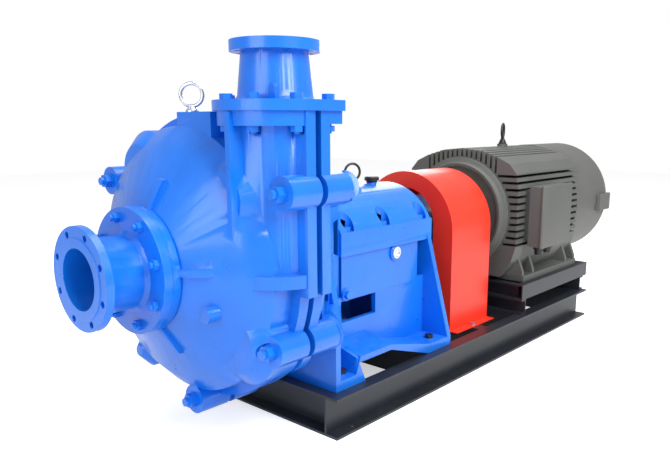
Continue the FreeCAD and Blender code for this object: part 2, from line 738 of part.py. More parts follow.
def pump_shaft():
    front = front_bearing_x
    rear = rear_bearing_x + bearing_width
    return turned([(shaft_tip_x, 0), (shaft_tip_x, shaft_tip_r - seat_gap), (hub_end + 2, shaft_tip_r - seat_gap),
                   (hub_end + 2, shaft_seal_r), (sleeve_end_x + 2, shaft_seal_r), (sleeve_end_x + 2, shaft_shoulder_r - 8),
                   (front - 12, shaft_bearing_r), (front + bearing_width, shaft_bearing_r),
                   (front + bearing_width, shaft_mid_r), (rear_bearing_x, shaft_mid_r), (rear_bearing_x, shaft_bearing_r),
                   (rear + 2, shaft_bearing_r), (rear + 2, shaft_end_r + 4), (coupling_gap_x - coupling_length - 12, shaft_end_r + 4),
                   (coupling_gap_x - coupling_length - 12, shaft_end_r), (coupling_gap_x - 2, shaft_end_r),
                   (coupling_gap_x - 2, 0)])


def race_outer(x):
    groove = roller_pitch_r + roller_r + run_gap
    return turned([(x, groove), (x, bearing_outer_r), (x + bearing_width, bearing_outer_r), (x + bearing_width, groove)])


def race_inner(x):
    groove = roller_pitch_r - roller_r - run_gap
    return turned([(x, shaft_bearing_r + run_gap), (x, groove), (x + bearing_width, groove),
                   (x + bearing_width, shaft_bearing_r + run_gap)])


def rollers(x):
    return [rod(x + 5, x + bearing_width - 5, roller_r, y, shaft_z + z)
            for y, z in on_circle(roller_pitch_r, roller_count)]


def bearing_cap(face_x, outward):
    """Cover ring whose spigot holds the outer race; outward is the direction away from the bearing."""
    lip = face_x + outward * cap_t
    spigot = face_x - outward * bearing_inset
    edge = bearing_outer_r - seat_gap
    return turned([(lip, cap_bore_r), (lip, bearing_outer_r + 26), (face_x, bearing_outer_r + 26), (face_x, edge),
                   (spigot, edge), (spigot, edge - 10), (face_x, edge - 10), (face_x, cap_bore_r)])


def coupling_half(face_x, direction, bore):
    """Flanged half coupling; direction points away from the gap."""
    back = face_x + direction * coupling_length
    flange = face_x + direction * coupling_flange_t
    return turned([(face_x, bore + run_gap), (face_x, coupling_r), (flange, coupling_r), (flange, coupling_hub_r),
                   (back, coupling_hub_r), (back, bore + run_gap)])


def pump_coupling_half():
    half = coupling_half(coupling_gap_x, -1, shaft_end_r)
    for y, z in on_circle(pin_circle_r, pin_count):
        half = half.cut(rod(coupling_gap_x - 40, coupling_gap_x + 1, pin_r + run_gap, y, shaft_z + z))
    return half


def motor_coupling_half():
    face = coupling_gap_x + coupling_gap
    half = coupling_half(face, 1, motor_shaft_r)
    for y, z in on_circle(pin_circle_r, pin_count):
        half = half.cut(rod(face - 1, face + coupling_flange_t + 1, bush_r + run_gap, y, shaft_z + z))
    return half


def coupling_pins():
    pins = []
    low = coupling_gap_x - coupling_flange_t
    for y, z in on_circle(pin_circle_r, pin_count):
        pin = rod(low, coupling_gap_x + coupling_gap + coupling_flange_t, pin_r, y, shaft_z + z)
        pins.append(pin.fuse(hex_x(low - 10, low, y, shaft_z + z, 26.0)))
    return pins


def coupling_bushes():
    face = coupling_gap_x + coupling_gap
    return [rod(face + 1, face + coupling_flange_t - 1, bush_r - seat_gap, y, shaft_z + z).cut(
        rod(face, face + coupling_flange_t, pin_r + seat_gap, y, shaft_z + z))
        for y, z in on_circle(pin_circle_r, pin_count)]


# ---- bearing bracket ---------------------------------------------------------------------------------
bracket_x = rear_wall_x + seat_gap
neck_front = (425.0, 420.0, 940.0)
neck_rear = (240.0, 470.0, 870.0)
neck_wall = 24.0
lugs = ((463.0, 935.0, 330.0, 880.0), (-455.0, 440.0, -345.0, 480.0), (-520.0, 949.0, -330.0, 880.0))
lug_tip_x = 800.0
lug_tip_r = 26.0
wall_hole_r = 150.0
sump_front_x = 960.0
sump_rear_x = 1470.0
sump_cavity_half = 200.0
front_seat_x = front_bearing_x + bearing_width
rear_seat_x = rear_bearing_x
bearing_land = 22.0
cover_bolt_xs = (1003.0, 1233.0, 1495.0)
cover_bolt_y = 224.0
cover_bolt_r = 12.0
cover_bolt_depth = 30.0
pocket_r = 32.0
glass_x = 1304.0
glass_z = 606.0
drain_x = 985.0
drain_z = 478.0
cover_z = shaft_z + cover_flange_t


def flat_face(corners):
    return Part.Face(Part.makePolygon(corners + [corners[0]]))


def neck_section(x, half, low, high):
    return [Vector(x, -half, low), Vector(x, half, low), Vector(x, half, high), Vector(x, -half, high)]


def neck_taper(inset):
    """The tapering box between the casing and the bearing housing, drawn in by its wall when it is the cavity."""
    half, low, high = neck_front
    front = neck_section(bracket_x - inset / neck_wall, half - inset, low + inset, high - inset)
    half, low, high = neck_rear
    rear = neck_section(housing_x + inset / neck_wall, half - inset, low + inset, high - inset)
    sides = [flat_face([front[i], front[(i + 1) % 4], rear[(i + 1) % 4], rear[i]]) for i in range(4)]
    solid = Part.Solid(Part.Shell([flat_face(front), flat_face(rear)] + sides))
    if solid.Volume < 0:
        solid.reverse()
    return solid


def bracket_lug(y, z, tip_y, tip_z):
    """Horn that carries the end of a casing stud and runs out along the neck."""
    run = Vector(lug_tip_x - bracket_x, tip_y - y, tip_z - z)
    start = Vector(bracket_x, y, z) - run * 0.1
    horn = Part.makeCone(boss_r, lug_tip_r, run.Length * 1.1, start, run)
    return horn.common(block(bracket_x, lug_tip_x + 40, -800, 800, 0, 1400))


def bearing_seats():
    """Space of the two bearings, their caps' spigots and the shaft between them."""
    seat = bearing_outer_r + seat_gap
    return [rod(housing_x - 1, front_seat_x, seat), rod(rear_seat_x, bracket_end_x + 20, seat),
            rod(bracket_end_x, bracket_end_x + 20, seat + 27), rod(housing_x - 60, bracket_end_x + 60, shaft_mid_r + 4)]


def bracket_feet():
    """Foot rails with their raised middle, and the sloping shelves that tie them to the side webs."""
    top = channel_height + bracket_foot_t
    low = channel_height
    profile = [(bracket_wall_x, low), (945, low), (907, low + 84), (1108, low + 85), (1371, low), (bracket_end_x, low),
               (bracket_end_x, top), (1385, top), (1108, low + 108), (914, low + 108), (889, top), (bracket_wall_x, top)]
    shelf = plate_yz([(-web_half, 190), (-web_half, 302), (-372, 262), (-372, 244)], 900, 1110)
    feet = plate_xz(profile, -bracket_foot_half, -web_half)
    return both_sides(feet) + both_sides(shelf)


def bearing_bracket():
    wall = plate_yz([(-380, 160), (380, 160), (380, 450), (340, 640), (300, 860), (-300, 860), (-340, 640), (-380, 450)],
                    bracket_wall_x, bracket_wall_x + bracket_wall_t)
    rear = plate_yz([(-380, 160), (380, 160), (380, 200), (housing_half, 660), (-housing_half, 660), (-380, 200)],
                    bracket_end_x - bracket_wall_t, bracket_end_x)
    web = block(bracket_wall_x + 10, bracket_end_x - 10, -web_half, -web_half + 22, channel_height + 22, 470)
    web = web.cut(block(959, 1176, -web_half - 1, -web_half + 23, 362, 451))
    sump = block(sump_front_x, sump_rear_x, -sump_half, sump_half, sump_low_z, shaft_z - 1)
    flange = block(housing_x, bracket_end_x + 9, -housing_half, housing_half, shaft_z - housing_flange_t, shaft_z)
    front_end = block(housing_x, front_seat_x + bearing_land, -180, 180, 500, shaft_z)
    rear_end = block(rear_seat_x - bearing_land, bracket_end_x, -180, 180, 500, shaft_z)
    body = neck_taper(0.0).cut(neck_taper(neck_wall))
    body = body.fuse([wall, rear, sump, flange, front_end, rear_end] + bracket_feet() + both_sides(web))
    body = body.fuse([bracket_lug(*lug) for lug in lugs])
    floor_z = sump_low_z + 22
    cavity = block(front_seat_x + bearing_land, rear_seat_x - bearing_land, -sump_cavity_half, sump_cavity_half,
                   floor_z, shaft_z + 1)
    body = body.cut([cavity, rod(rear_wall_x - 1, front_bearing_x - 20, wall_hole_r)] + bearing_seats())
    gland_window = plate_xz([(848, 672), (926, 648), (926, 792), (848, 792)], -600, 600)
    slot_window = plate_xz([(690, 478), (752, 520), (752, 604), (690, 604)], -600, 600)
    body = body.cut([gland_window, slot_window])
    body = body.cut([rod(bracket_x - 1, bracket_x + lug_thread + 2, bolt_r, y, z) for y, z, a, b in lugs])
    bolts = [post(shaft_z - cover_bolt_depth, shaft_z + 1, cover_bolt_r, x, side * cover_bolt_y)
             for x in cover_bolt_xs for side in (1, -1)]
    holes = [post(channel_height - 1, channel_height + bracket_foot_t + 80, pedestal_bolt_r + 1, x, side * pedestal_bolt_y)
             for x in pedestal_bolt_xs for side in (1, -1)]
    body = body.cut(bolts + holes)
    bosses = [side_rod(-sump_half - 8, -sump_half + 4, 36, glass_x, glass_z),
              side_rod(-sump_half - 8, -sump_half + 4, 26, drain_x, drain_z)]
    body = body.fuse(bosses)
    body = body.cut([side_rod(-sump_half - 9, -sump_half + 12, 14, glass_x, glass_z),
                     side_rod(-sump_half - 9, -sump_half + 12, 11, drain_x, drain_z)])
    return body.removeSplitter()


def side_rod(y0, y1, radius, x, z):
    return Part.makeCylinder(radius, y1 - y0, Vector(x, y0, z), Vector(0, 1, 0))


# ---- bearing cover and its fittings ------------------------------------------------------------------
cover_front_x = housing_x + seat_gap
dome_z = shaft_z - cover_dome_drop
dome_top_z = dome_z + cover_dome_r
nose_z = 799.0
nose_profile = ((1137.0, 146.0), (1228.0, 127.0), (1340.0, 70.0), (1361.0, 40.0))
breather_x = 1430.0
breather_boss_z = dome_top_z + 5.0
cover_eye_x = 1295.0
cover_eye_z = 894.0


def bearing_cover():
    dome = rod(cover_front_x, bracket_end_x, cover_dome_r, 0, dome_z)
    nose = turned([(cover_front_x, 0), (cover_front_x, 157)] + list(nose_profile) + [(nose_profile[-1][0], 0)], 0, nose_z)
    bosses = [post(dome_z + 240, breather_boss_z, 24, breather_x, 0), post(dome_z + 240, cover_eye_z, 24, cover_eye_x, 0)]
    body = dome.fuse([nose] + bosses)
    for x in cover_bolt_xs:
        for side in (1, -1):
            body = body.cut(post(cover_z, dome_top_z + 40, pocket_r, x, side * cover_bolt_y))
    body = body.common(block(cover_front_x, bracket_end_x + 1, -housing_half, housing_half, shaft_z, 1000))
    body = body.fuse(block(cover_front_x, bracket_end_x + 9, -housing_half, housing_half, shaft_z, cover_z))
    cavity = rod(front_seat_x + bearing_land, rear_seat_x - bearing_land, cover_dome_r - cover_wall, 0, dome_z)
    cavity = cavity.common(block(housing_x, bracket_end_x, -sump_cavity_half, sump_cavity_half, 0, 1000))
    body = body.cut([cavity] + bearing_seats())
    body = body.cut([post(shaft_z - 1, cover_z + 1, cover_bolt_r + 1, x, side * cover_bolt_y)
                     for x in cover_bolt_xs for side in (1, -1)])
    body = body.cut([post(breather_boss_z - 12, breather_boss_z + 1, 12, breather_x, 0),
                     post(cover_eye_z - 30, cover_eye_z + 1, eye_shank_r, cover_eye_x, 0),
                     post(cover_eye_z, cover_eye_z + 40, 28, cover_eye_x, 0)])
    return body.removeSplitter()


def bearing_cover_bolts():
    bolts = []
    for x in cover_bolt_xs:
        for y in (-cover_bolt_y, cover_bolt_y):
            shank = post(shaft_z - cover_bolt_depth + 2, cover_z + 2, cover_bolt_r, x, y)
            bolts.append(shank.fuse(hex_z(cover_z, cover_z + 16, x, y, 36.0)))
    return bolts


def oil_breather():
    z = breather_boss_z
    return turned_z([(0, z - 10), (12, z - 10), (12, z), (26, z), (26, z + 6), (34, z + 8), (34, z + 22), (28, z + 26),
                     (0, z + 26)], breather_x, 0)


def oil_sight_glass():
    face = -sump_half - 8
    body = side_rod(face - 6, face, 26, glass_x, glass_z).fuse(side_rod(face, face + 16, 14, glass_x, glass_z))
    return body.cut(side_rod(face - 7, face - 3, 18, glass_x, glass_z))


def oil_drain_plug():
    face = -sump_half - 8
    head = plate_xz([(drain_x + a, drain_z + b) for a, b in hexagon(30)], face - 14, face)
    return head.fuse(side_rod(face - 2, face + 16, 11, drain_x, drain_z))


def eye_bolt(x, y, base_z, ring_z, ring_r, wire_r, turn, depth):
    """Collar eye bolt with its shank; turn is the angle of the ring's plane from the X axis."""
    ring = Part.makeTorus(ring_r, wire_r, Vector(0, 0, 0), Vector(0, 1, 0))
    ring = ring.rotate(Vector(0, 0, 0), AXIS_Z, turn).translated(Vector(x, y, ring_z))
    neck_top = ring_z - ring_r
    stem = turned_z([(0, base_z - depth), (eye_shank_r, base_z - depth), (eye_shank_r, base_z), (eye_shank_r * 1.9, base_z),
                     (eye_shank_r * 1.9, base_z + 6), (wire_r + 2, neck_top), (0, neck_top)], x, y)
    return stem.fuse(ring).removeSplitter()


def casing_eye_bolt():
    return eye_bolt(eye_x, eye_y, box_top_z, box_top_z + 58, 38, 6.5, -49, 36)


def cover_eye_bolt():
    return eye_bolt(cover_eye_x, 0, cover_eye_z, cover_eye_z + 48, 37, 5.5, -22, 26)


def pedestal_bolts():
    bolts = []
    top = channel_height + bracket_foot_t
    for x in pedestal_bolt_xs:
        for y in (-pedestal_bolt_y, pedestal_bolt_y):
            low = channel_height - channel_thickness
            shank = post(low - 30, top + 2, pedestal_bolt_r, x, y)
            bolts.append(shank.fuse([hex_z(top, top + 15, x, y, 36.0), hex_z(low - 20, low, x, y, 36.0)]))
    return bolts


# ---- coupling guard ------------------------------------------------------------------------------------
def guard_arch(x0, x1, half):
    return rod(x0, x1, half, 0, guard_arch_z).common(block(x0, x1, -half, half, guard_arch_z, 1100)).fuse(
        block(x0, x1, -half, half, channel_height, guard_arch_z))


def coupling_guard():
    """Arched sheet guard with folded feet; both ends open round the shaft and down to the base."""
    end_x = guard_x + guard_length
    shell = guard_arch(guard_x, end_x, guard_half).cut(
        guard_arch(guard_x + guard_sheet, end_x - guard_sheet, guard_half - guard_sheet))
    opening = rod(guard_x - 1, end_x + 1, guard_opening_r).fuse(
        block(guard_x - 1, end_x + 1, -guard_opening_r, guard_opening_r, 0, shaft_z))
    shell = shell.cut(opening)
    shell = shell.cut(block(guard_x + guard_sheet, end_x - guard_sheet, -guard_half + guard_sheet,
                            guard_half - guard_sheet, 0, channel_height + 40))
    feet = both_sides(block(guard_x, end_x, -guard_half - guard_foot, -guard_half + guard_sheet, channel_height,
                            channel_height + guard_sheet))
    shell = shell.fuse(feet)
    shell = shell.cut([post(channel_height - 1, channel_height + 10, guard_bolt_r + 1, guard_bolt_x, y)
                       for y in (-guard_bolt_y, guard_bolt_y)])
    return shell.removeSplitter()


def guard_bolts():
    bolts = []
    top = channel_height + guard_sheet
    low = channel_height - channel_thickness
    for y in (-guard_bolt_y, guard_bolt_y):
        shank = post(low - 18, top + 2, guard_bolt_r, guard_bolt_x, y)
        bolts.append(shank.fuse([hex_z(top, top + 10, guard_bolt_x, y, 24.0), hex_z(low - 12, low, guard_bolt_x, y, 24.0)]))
    return bolts


# ---- motor -----------------------------------------------------------------------------------------------
frame_outline = ((0.0, 1024.0), (-120.0, 1012.0), (-215.0, 984.0), (-292.0, 948.0), (-334.0, 900.0), (-349.0, 820.0),
                 (-349.0, 520.0), (-322.0, 430.0), (-262.0, 346.0), (0.0, 346.0))
top_slot_pitch = 30.0
top_slot_count = 15
side_slots = (884.0, 850.0, 814.0, 778.0, 742.0, 706.0, 670.0, 634.0, 598.0, 562.0, 526.0)
slot_width = 14.0
spigot_depth = 24.0
stator_x = (2350.0, 2790.0)
rotor_r = 171.0
air_gap = 1.5
motor_bearing_front_x = 2158.0
motor_bearing_rear_x = 2952.0
shield_tail_x = 2980.0
box_x0 = 2267.0
box_x1 = 2600.0
lid_t = 14.0
terminal_z = (515.0, 832.0)
terminal_y = (-446.0, -376.0)
gland_xs = (2330.0, 2430.0)
motor_eye_x = 2630.0
foot_x = (2263.0, 2930.0)
foot_t = 32.0
foot_inner = 205.0


def motor_envelope(x0, x1):
    left = [(y, z) for y, z in frame_outline]
    right = [(-y, z) for y, z in frame_outline[-2:0:-1]]
    return plate_yz(left + right, x0, x1)


def motor_frame():
    """Ribbed housing: upright slots over the top, level slots down both sides, feet and gussets below."""
    body = motor_envelope(motor_front_x, motor_barrel_end_x)
    cuts = []
    for i in range(top_slot_count):
        y = (i - top_slot_count // 2) * top_slot_pitch
        floor = shaft_z + math.sqrt(motor_core_r ** 2 - y ** 2)
        cuts.append(block(motor_front_x - 1, motor_barrel_end_x + 1, y - slot_width / 2, y + slot_width / 2, floor, 1100))
    for z in side_slots:
        reach = math.sqrt(motor_core_r ** 2 - (z - shaft_z) ** 2)
        slot = block(motor_front_x - 1, motor_barrel_end_x + 1, -400, -reach, z - slot_width / 2, z + slot_width / 2)
        cuts += both_sides(slot)
    body = body.cut(cuts)
    foot = block(foot_x[0], foot_x[1], -motor_foot_half, -foot_inner, motor_foot_z, motor_foot_z + foot_t)
    gussets = [plate_yz([(-motor_foot_half + 8, motor_foot_z + foot_t - 1), (-motor_foot_half + 8, 372), (-318, 470),
                         (-240, 470), (-240, motor_foot_z + foot_t - 1)], x, x + 22)
               for x in (foot_x[0], motor_hole_xs[0] + 62, motor_hole_xs[1] - 84, foot_x[1] - 22)]
    pad = block(box_x0 + 20, box_x1 - 20, terminal_y[1], -320, terminal_z[0] + 30, terminal_z[1] - 20)
    body = body.fuse(both_sides(foot) + both_sides(gussets[0]) + both_sides(gussets[1]) + both_sides(gussets[2])
                     + both_sides(gussets[3]) + [pad, post(980, 1037, 30, motor_eye_x, 0)])
    body = body.cut([rod(motor_front_x - 1, motor_barrel_end_x + 1, motor_bore_r),
                     post(1008, 1038, eye_shank_r, motor_eye_x, 0)])
    body = body.cut([post(motor_foot_z - 1, motor_foot_z + foot_t + 1, motor_bolt_r + 1, x, side * motor_hole_y)
                     for x in motor_hole_xs for side in (1, -1)])
    return body.removeSplitter()


def drive_end_shield():
    """Bearing shield with two turned rims and a recessed face."""
    seat = bearing_outer_r + seat_gap
    end = motor_bearing_front_x + bearing_width
    spigot = motor_bore_r - seat_gap
    return turned([(2128, motor_shaft_r + 4), (2128, 112), (2146, 118), (2158, 150), (2158, 246), (2148, 252), (2148, 270),
                   (2168, 276), (2178, 300), (motor_front_x, 300), (motor_front_x, spigot),
                   (motor_front_x + spigot_depth, spigot), (motor_front_x + spigot_depth, spigot - 24),
                   (2180, 200), (end, 116), (end, seat), (motor_bearing_front_x, seat),
                   (motor_bearing_front_x, motor_shaft_r + 4)])


def rear_end_shield():
    seat = bearing_outer_r + seat_gap
    spigot = motor_bore_r - seat_gap
    end = motor_bearing_rear_x + bearing_width
    return turned([(motor_barrel_end_x - spigot_depth, spigot - 20), (motor_barrel_end_x - spigot_depth, spigot),
                   (motor_barrel_end_x, spigot), (motor_barrel_end_x, cowl_r - cowl_sheet - seat_gap),
                   (motor_barrel_end_x + 20, cowl_r - cowl_sheet - seat_gap), (motor_barrel_end_x + 24, 240), (end + 8, 130),
                   (end + 8, motor_shaft_r + 4), (end, motor_shaft_r + 4), (end, seat), (motor_bearing_rear_x, seat),
                   (motor_bearing_rear_x, 112), (motor_barrel_end_x - 6, 150)])


def stator():
    """Laminated core with its end windings as one turned block."""
    x0, x1 = stator_x
    bore = rotor_r + air_gap
    outer = motor_bore_r - seat_gap
    return turned([(x0, bore), (x0, bore + 12), (x0 - 62, bore + 20), (x0 - 70, bore + 30), (x0 - 62, bore + 58),
                   (x0, bore + 64), (x0, outer), (x1, outer), (x1, bore + 64), (x1 + 62, bore + 58), (x1 + 70, bore + 30),
                   (x1 + 62, bore + 20), (x1, bore + 12), (x1, bore)])


def motor_rotor():
    x0, x1 = stator_x
    front = motor_bearing_front_x + bearing_width
    rear = motor_bearing_rear_x
    start = coupling_gap_x + coupling_gap + 1
    return turned([(start, 0), (start, motor_shaft_r), (motor_bearing_front_x - 6, motor_shaft_r),
                   (motor_bearing_front_x - 6, shaft_bearing_r), (front, shaft_bearing_r), (front, 62), (x0 - 90, 66),
                   (x0 - 34, 66), (x0 - 34, 120), (x0, rotor_r), (x1, rotor_r), (x1 + 34, 120), (x1 + 34, 66), (rear, 62),
                   (rear, shaft_bearing_r), (rear + bearing_width, shaft_bearing_r), (rear + bearing_width, motor_shaft_r),
                   (3120, motor_shaft_r), (3120, 0)])


def motor_fan():
    hub_x0, hub_x1 = 3040.0, 3110.0
    hub = turned([(hub_x0, motor_shaft_r + run_gap), (hub_x0, 78), (hub_x0 + 40, 90), (hub_x0 + 40, 290), (hub_x0 + 46, 290),
                  (hub_x0 + 46, 78), (hub_x1, 78), (hub_x1, motor_shaft_r + run_gap)])
    blades = []
    for i in range(8):
        blade = block(hub_x0 + 44, hub_x0 + 128, -3, 3, 130, 286)
        blades.append(blade.rotate(Vector(0, 0, 0), AXIS_X, 45.0 * i).translated(Vector(0, 0, shaft_z)))
    return hub.fuse(blades).removeSplitter()


def fan_cowl():
    """Sheet cowl with a rounded shoulder and radial air slots in its end."""
    x0, x1, r, t = motor_barrel_end_x + seat_gap, motor_tail_x, cowl_r, cowl_sheet
    cowl = turned([(x0, r - t), (x0, r), (x1 - 62, r), (x1 - 34, r - 8), (x1 - 10, r - 32), (x1, r - 62), (x1, 0),
                   (x1 - t, 0), (x1 - t, r - 62), (x1 - 12, r - 35), (x1 - 36, r - 12), (x1 - 62, r - t)])
    slots = []
    for i in range(20):
        slot = block(x1 - t - 1, x1 + 1, -7, 7, 90, 255)
        slots.append(slot.rotate(Vector(0, 0, 0), AXIS_X, 18.0 * i).translated(Vector(0, 0, shaft_z)))
    return cowl.cut(slots).removeSplitter()


def cowl_side_box():
    """Small cover on the cowl's side for the grease pipe's end."""
    body = plate_xy([(3226, -330), (3238, -372), (3396, -372), (3410, -330)], 612, 716)
    return body.cut(rod(3200, 3430, cowl_r))


def terminal_box():
    z0, z1 = terminal_z
    y0, y1 = terminal_y
    box = block(box_x0, box_x1, y0, y1, z0, z1)
    box = box.cut(block(box_x0 + 8, box_x1 - 8, y0 - 1, y1 - 8, z0 + 8, z1 - 8))
    return box.cut([post(z0 - 1, z0 + 9, 20, x, (y0 + y1) / 2) for x in gland_xs])


def terminal_box_lid():
    z0, z1 = terminal_z
    y0 = terminal_y[0]
    lid = block(box_x0 - 6, box_x1 + 6, y0 - lid_t, y0, z0 - 6, z1 + 6)
    return lid.makeChamfer(6, [edge for edge in lid.Edges if edge.CenterOfMass.y < y0 - lid_t + 0.1])


def cable_glands():
    z0 = terminal_z[0]
    y = sum(terminal_y) / 2
    return [turned_z([(0, z0 + 14), (20, z0 + 14), (20, z0), (30, z0), (30, z0 - 16), (24, z0 - 18), (20, z0 - 46),
                      (0, z0 - 46)], x, y) for x in gland_xs]


def heater_box():
    """Small auxiliary connection box on the far side of the frame."""
    box = block(2396, 2650, 296, 404, 862, 933)
    return box.cut(motor_envelope(2300, 2700)).Solids[0]


def motor_eye_bolt():
    return eye_bolt(motor_eye_x, 0, 1037, 1037 + 74, 40, 7, 20, 26)


def motor_foot_bolts():
    bolts = []
    top = motor_foot_z + foot_t
    low = motor_foot_z - stand_thickness
    for x in motor_hole_xs:
        for y in (-motor_hole_y, motor_hole_y):
            shank = post(low - 28, top + 2, motor_bolt_r, x, y)
            bolts.append(shank.fuse([hex_z(top, top + 15, x, y, 36.0), hex_z(low - 20, low, x, y, 36.0)]))
    return bolts


# ---- output ------------------------------------------------------------------------------------------------
nodes = {
    "base_side_rails": base_side_rails(),
    "base_cross_channels": base_cross_channels(),
    "motor_stand_packers": stand_packers(),
    "motor_stand_side_beams": stand_side_beams(),
    "motor_stand_cross_beams": stand_cross_beams(),
    "suction_spool": [suction_spool()],
    "suction_studs": suction_studs(),
    "discharge_spool": [discharge_spool()],
    "discharge_spool_bolts": adapter_bolt_set(),
    "front_casing": [front_casing()],
    "rear_casing": [rear_casing()],
    "casing_studs": casing_studs(),
    "casing_eye_bolt": [casing_eye_bolt()],
    "volute_liner": [volute_liner()],
    "front_liner": [front_liner()],
    "rear_liner": [rear_liner()],
    "impeller": [impeller()],
    "expeller": [expeller()],
    "expeller_ring": [expeller_ring()],
    "stuffing_box": [stuffing_box()],
    "packing_rings": packing_rings(),
    "packing_gland": [packing_gland()],
    "gland_studs": gland_studs(),
    "gland_nuts": gland_nuts(),
    "shaft_sleeve": [shaft_sleeve()],
    "pump_shaft": [pump_shaft()],
    "pump_bearing_outer_races": [race_outer(front_bearing_x), race_outer(rear_bearing_x)],
    "pump_bearing_inner_races": [race_inner(front_bearing_x), race_inner(rear_bearing_x)],
    "pump_bearing_rollers": rollers(front_bearing_x) + rollers(rear_bearing_x),
    "bearing_caps": [bearing_cap(housing_x, -1), bearing_cap(bracket_end_x, 1)],
    "bearing_bracket": [bearing_bracket()],
    "pedestal_bolts": pedestal_bolts(),
    "bearing_cover": [bearing_cover()],
    "bearing_cover_bolts": bearing_cover_bolts(),
    "bearing_cover_eye_bolt": [cover_eye_bolt()],
    "oil_breather": [oil_breather()],
    "oil_sight_glass": [oil_sight_glass()],
    "oil_drain_plug": [oil_drain_plug()],
    "pump_coupling_half": [pump_coupling_half()],
    "motor_coupling_half": [motor_coupling_half()],
    "coupling_pins": coupling_pins(),
    "coupling_bushes": coupling_bushes(),
    "coupling_guard": [coupling_guard()],
    "guard_bolts": guard_bolts(),
    "motor_frame": [motor_frame()],
    "motor_drive_end_shield": [drive_end_shield()],
    "motor_rear_end_shield": [rear_end_shield()],
    "motor_stator": [stator()],
    "motor_rotor": [motor_rotor()],
    "motor_bearing_outer_races": [race_outer(motor_bearing_front_x), race_outer(motor_bearing_rear_x)],
    "motor_bearing_inner_races": [race_inner(motor_bearing_front_x), race_inner(motor_bearing_rear_x)],
    "motor_fan": [motor_fan()],
    "fan_cowl": [fan_cowl()],
    "cowl_side_box": [cowl_side_box()],
    "terminal_box": [terminal_box()],
    "terminal_box_lid": [terminal_box_lid()],
    "cable_glands": cable_glands(),
    "heater_box": [heater_box()],
    "motor_eye_bolt": [motor_eye_bolt()],
    "motor_foot_bolts": motor_foot_bolts(),
}

os.makedirs("parts", exist_ok=True)
to_frame = Vector(-frame_x, 0, 0)
for name, solids in nodes.items():
    moved = [solid.translated(to_frame) for solid in solids]
    shape = moved[0] if len(moved) == 1 else Part.makeCompound(moved)
    shape.exportStep("parts/" + name + ".step")
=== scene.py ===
import json
import math

import bmesh
import bpy
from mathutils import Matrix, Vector

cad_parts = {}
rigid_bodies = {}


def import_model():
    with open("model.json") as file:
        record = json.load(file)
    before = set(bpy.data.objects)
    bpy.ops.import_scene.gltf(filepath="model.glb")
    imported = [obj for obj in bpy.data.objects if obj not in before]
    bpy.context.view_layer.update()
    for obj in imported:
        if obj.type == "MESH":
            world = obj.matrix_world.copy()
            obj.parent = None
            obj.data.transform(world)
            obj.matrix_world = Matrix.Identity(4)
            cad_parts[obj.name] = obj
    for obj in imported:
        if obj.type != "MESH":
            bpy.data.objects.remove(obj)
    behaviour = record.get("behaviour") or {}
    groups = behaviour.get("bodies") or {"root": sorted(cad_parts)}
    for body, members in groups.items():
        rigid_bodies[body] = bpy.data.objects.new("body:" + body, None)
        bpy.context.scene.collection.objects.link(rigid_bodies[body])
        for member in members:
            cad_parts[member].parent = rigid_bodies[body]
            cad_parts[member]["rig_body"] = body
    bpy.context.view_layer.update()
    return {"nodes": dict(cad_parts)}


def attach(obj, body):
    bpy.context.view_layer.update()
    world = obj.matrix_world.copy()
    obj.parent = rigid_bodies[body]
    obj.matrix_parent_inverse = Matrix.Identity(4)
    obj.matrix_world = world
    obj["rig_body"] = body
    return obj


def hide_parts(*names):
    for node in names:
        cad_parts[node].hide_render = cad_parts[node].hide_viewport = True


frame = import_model()
nodes = frame["nodes"]
print("frame loaded:", len(nodes), "nodes")

mm = 0.001
frameX = 1.847    # from the suction face to the frame's origin


def at(x, y, z):
    # millimetres: x from the suction face, y from the shaft line, z from the floor
    return Vector((x * mm - frameX, y * mm, z * mm))


view = {
    "place": (-964.8, -2000.7, 1155.8), "turn": 41.32, "dip": 11.71,
    "lens": 36.08, "sensor": 36.0, "shift": (-0.0294, 0.0385), "near": 0.05, "far": 60.0,
}
camera = bpy.data.objects.new("camera", bpy.data.cameras.new("camera"))
bpy.context.scene.collection.objects.link(camera)
camera.location = at(*view["place"])
camera.rotation_euler = (math.radians(90 - view["dip"]), 0, math.radians(view["turn"] - 90))
camera.data.sensor_width = view["sensor"]
camera.data.lens = view["lens"]
camera.data.shift_x, camera.data.shift_y = view["shift"]
camera.data.clip_start = view["near"]
camera.data.clip_end = view["far"]
bpy.context.scene.camera = camera
bpy.context.scene.view_settings.view_transform = "Standard"

# places and sizes in metres, power in watts
lamps = {
    "key": {"place": (-1.2, -4.6, 4.2), "aim": (0.0, 0.0, 0.6), "size": 3.2, "power": 330.0},
    "front": {"place": (-5.6, -0.6, 2.6), "aim": (-0.8, 0.0, 0.7), "size": 3.0, "power": 95.0},
    "top": {"place": (0.4, -0.6, 5.4), "aim": (0.0, 0.0, 0.4), "size": 3.6, "power": 150.0},
    "rear": {"place": (3.6, 3.4, 2.8), "aim": (0.2, 0.0, 0.6), "size": 3.0, "power": 90.0},
}
for name, lamp in lamps.items():
    light = bpy.data.lights.new(name, "AREA")
    light.size = lamp["size"]
    light.energy = lamp["power"]
    holder = bpy.data.objects.new(name, light)
    holder.location = lamp["place"]
    aim = Vector(lamp["aim"]) - Vector(lamp["place"])
    holder.rotation_euler = aim.to_track_quat("-Z", "Y").to_euler()
    bpy.context.scene.collection.objects.link(holder)


class Wire:
    # one output of a node, so that shader maths reads as plain sums
    def __init__(self, tree, socket):
        self.tree, self.socket = tree, socket

    def maths(self, operation, other):
        return addNode(self.tree, "ShaderNodeMath", {"operation": operation}, {0: self, 1: other})

    def __add__(self, other):
        return self.maths("ADD", other)

    def __mul__(self, other):
        return self.maths("MULTIPLY", other)

    __radd__ = __add__
    __rmul__ = __mul__


def feed(tree, socket, value):
    if isinstance(value, Wire):
        tree.links.new(value.socket, socket)
    else:
        socket.default_value = value


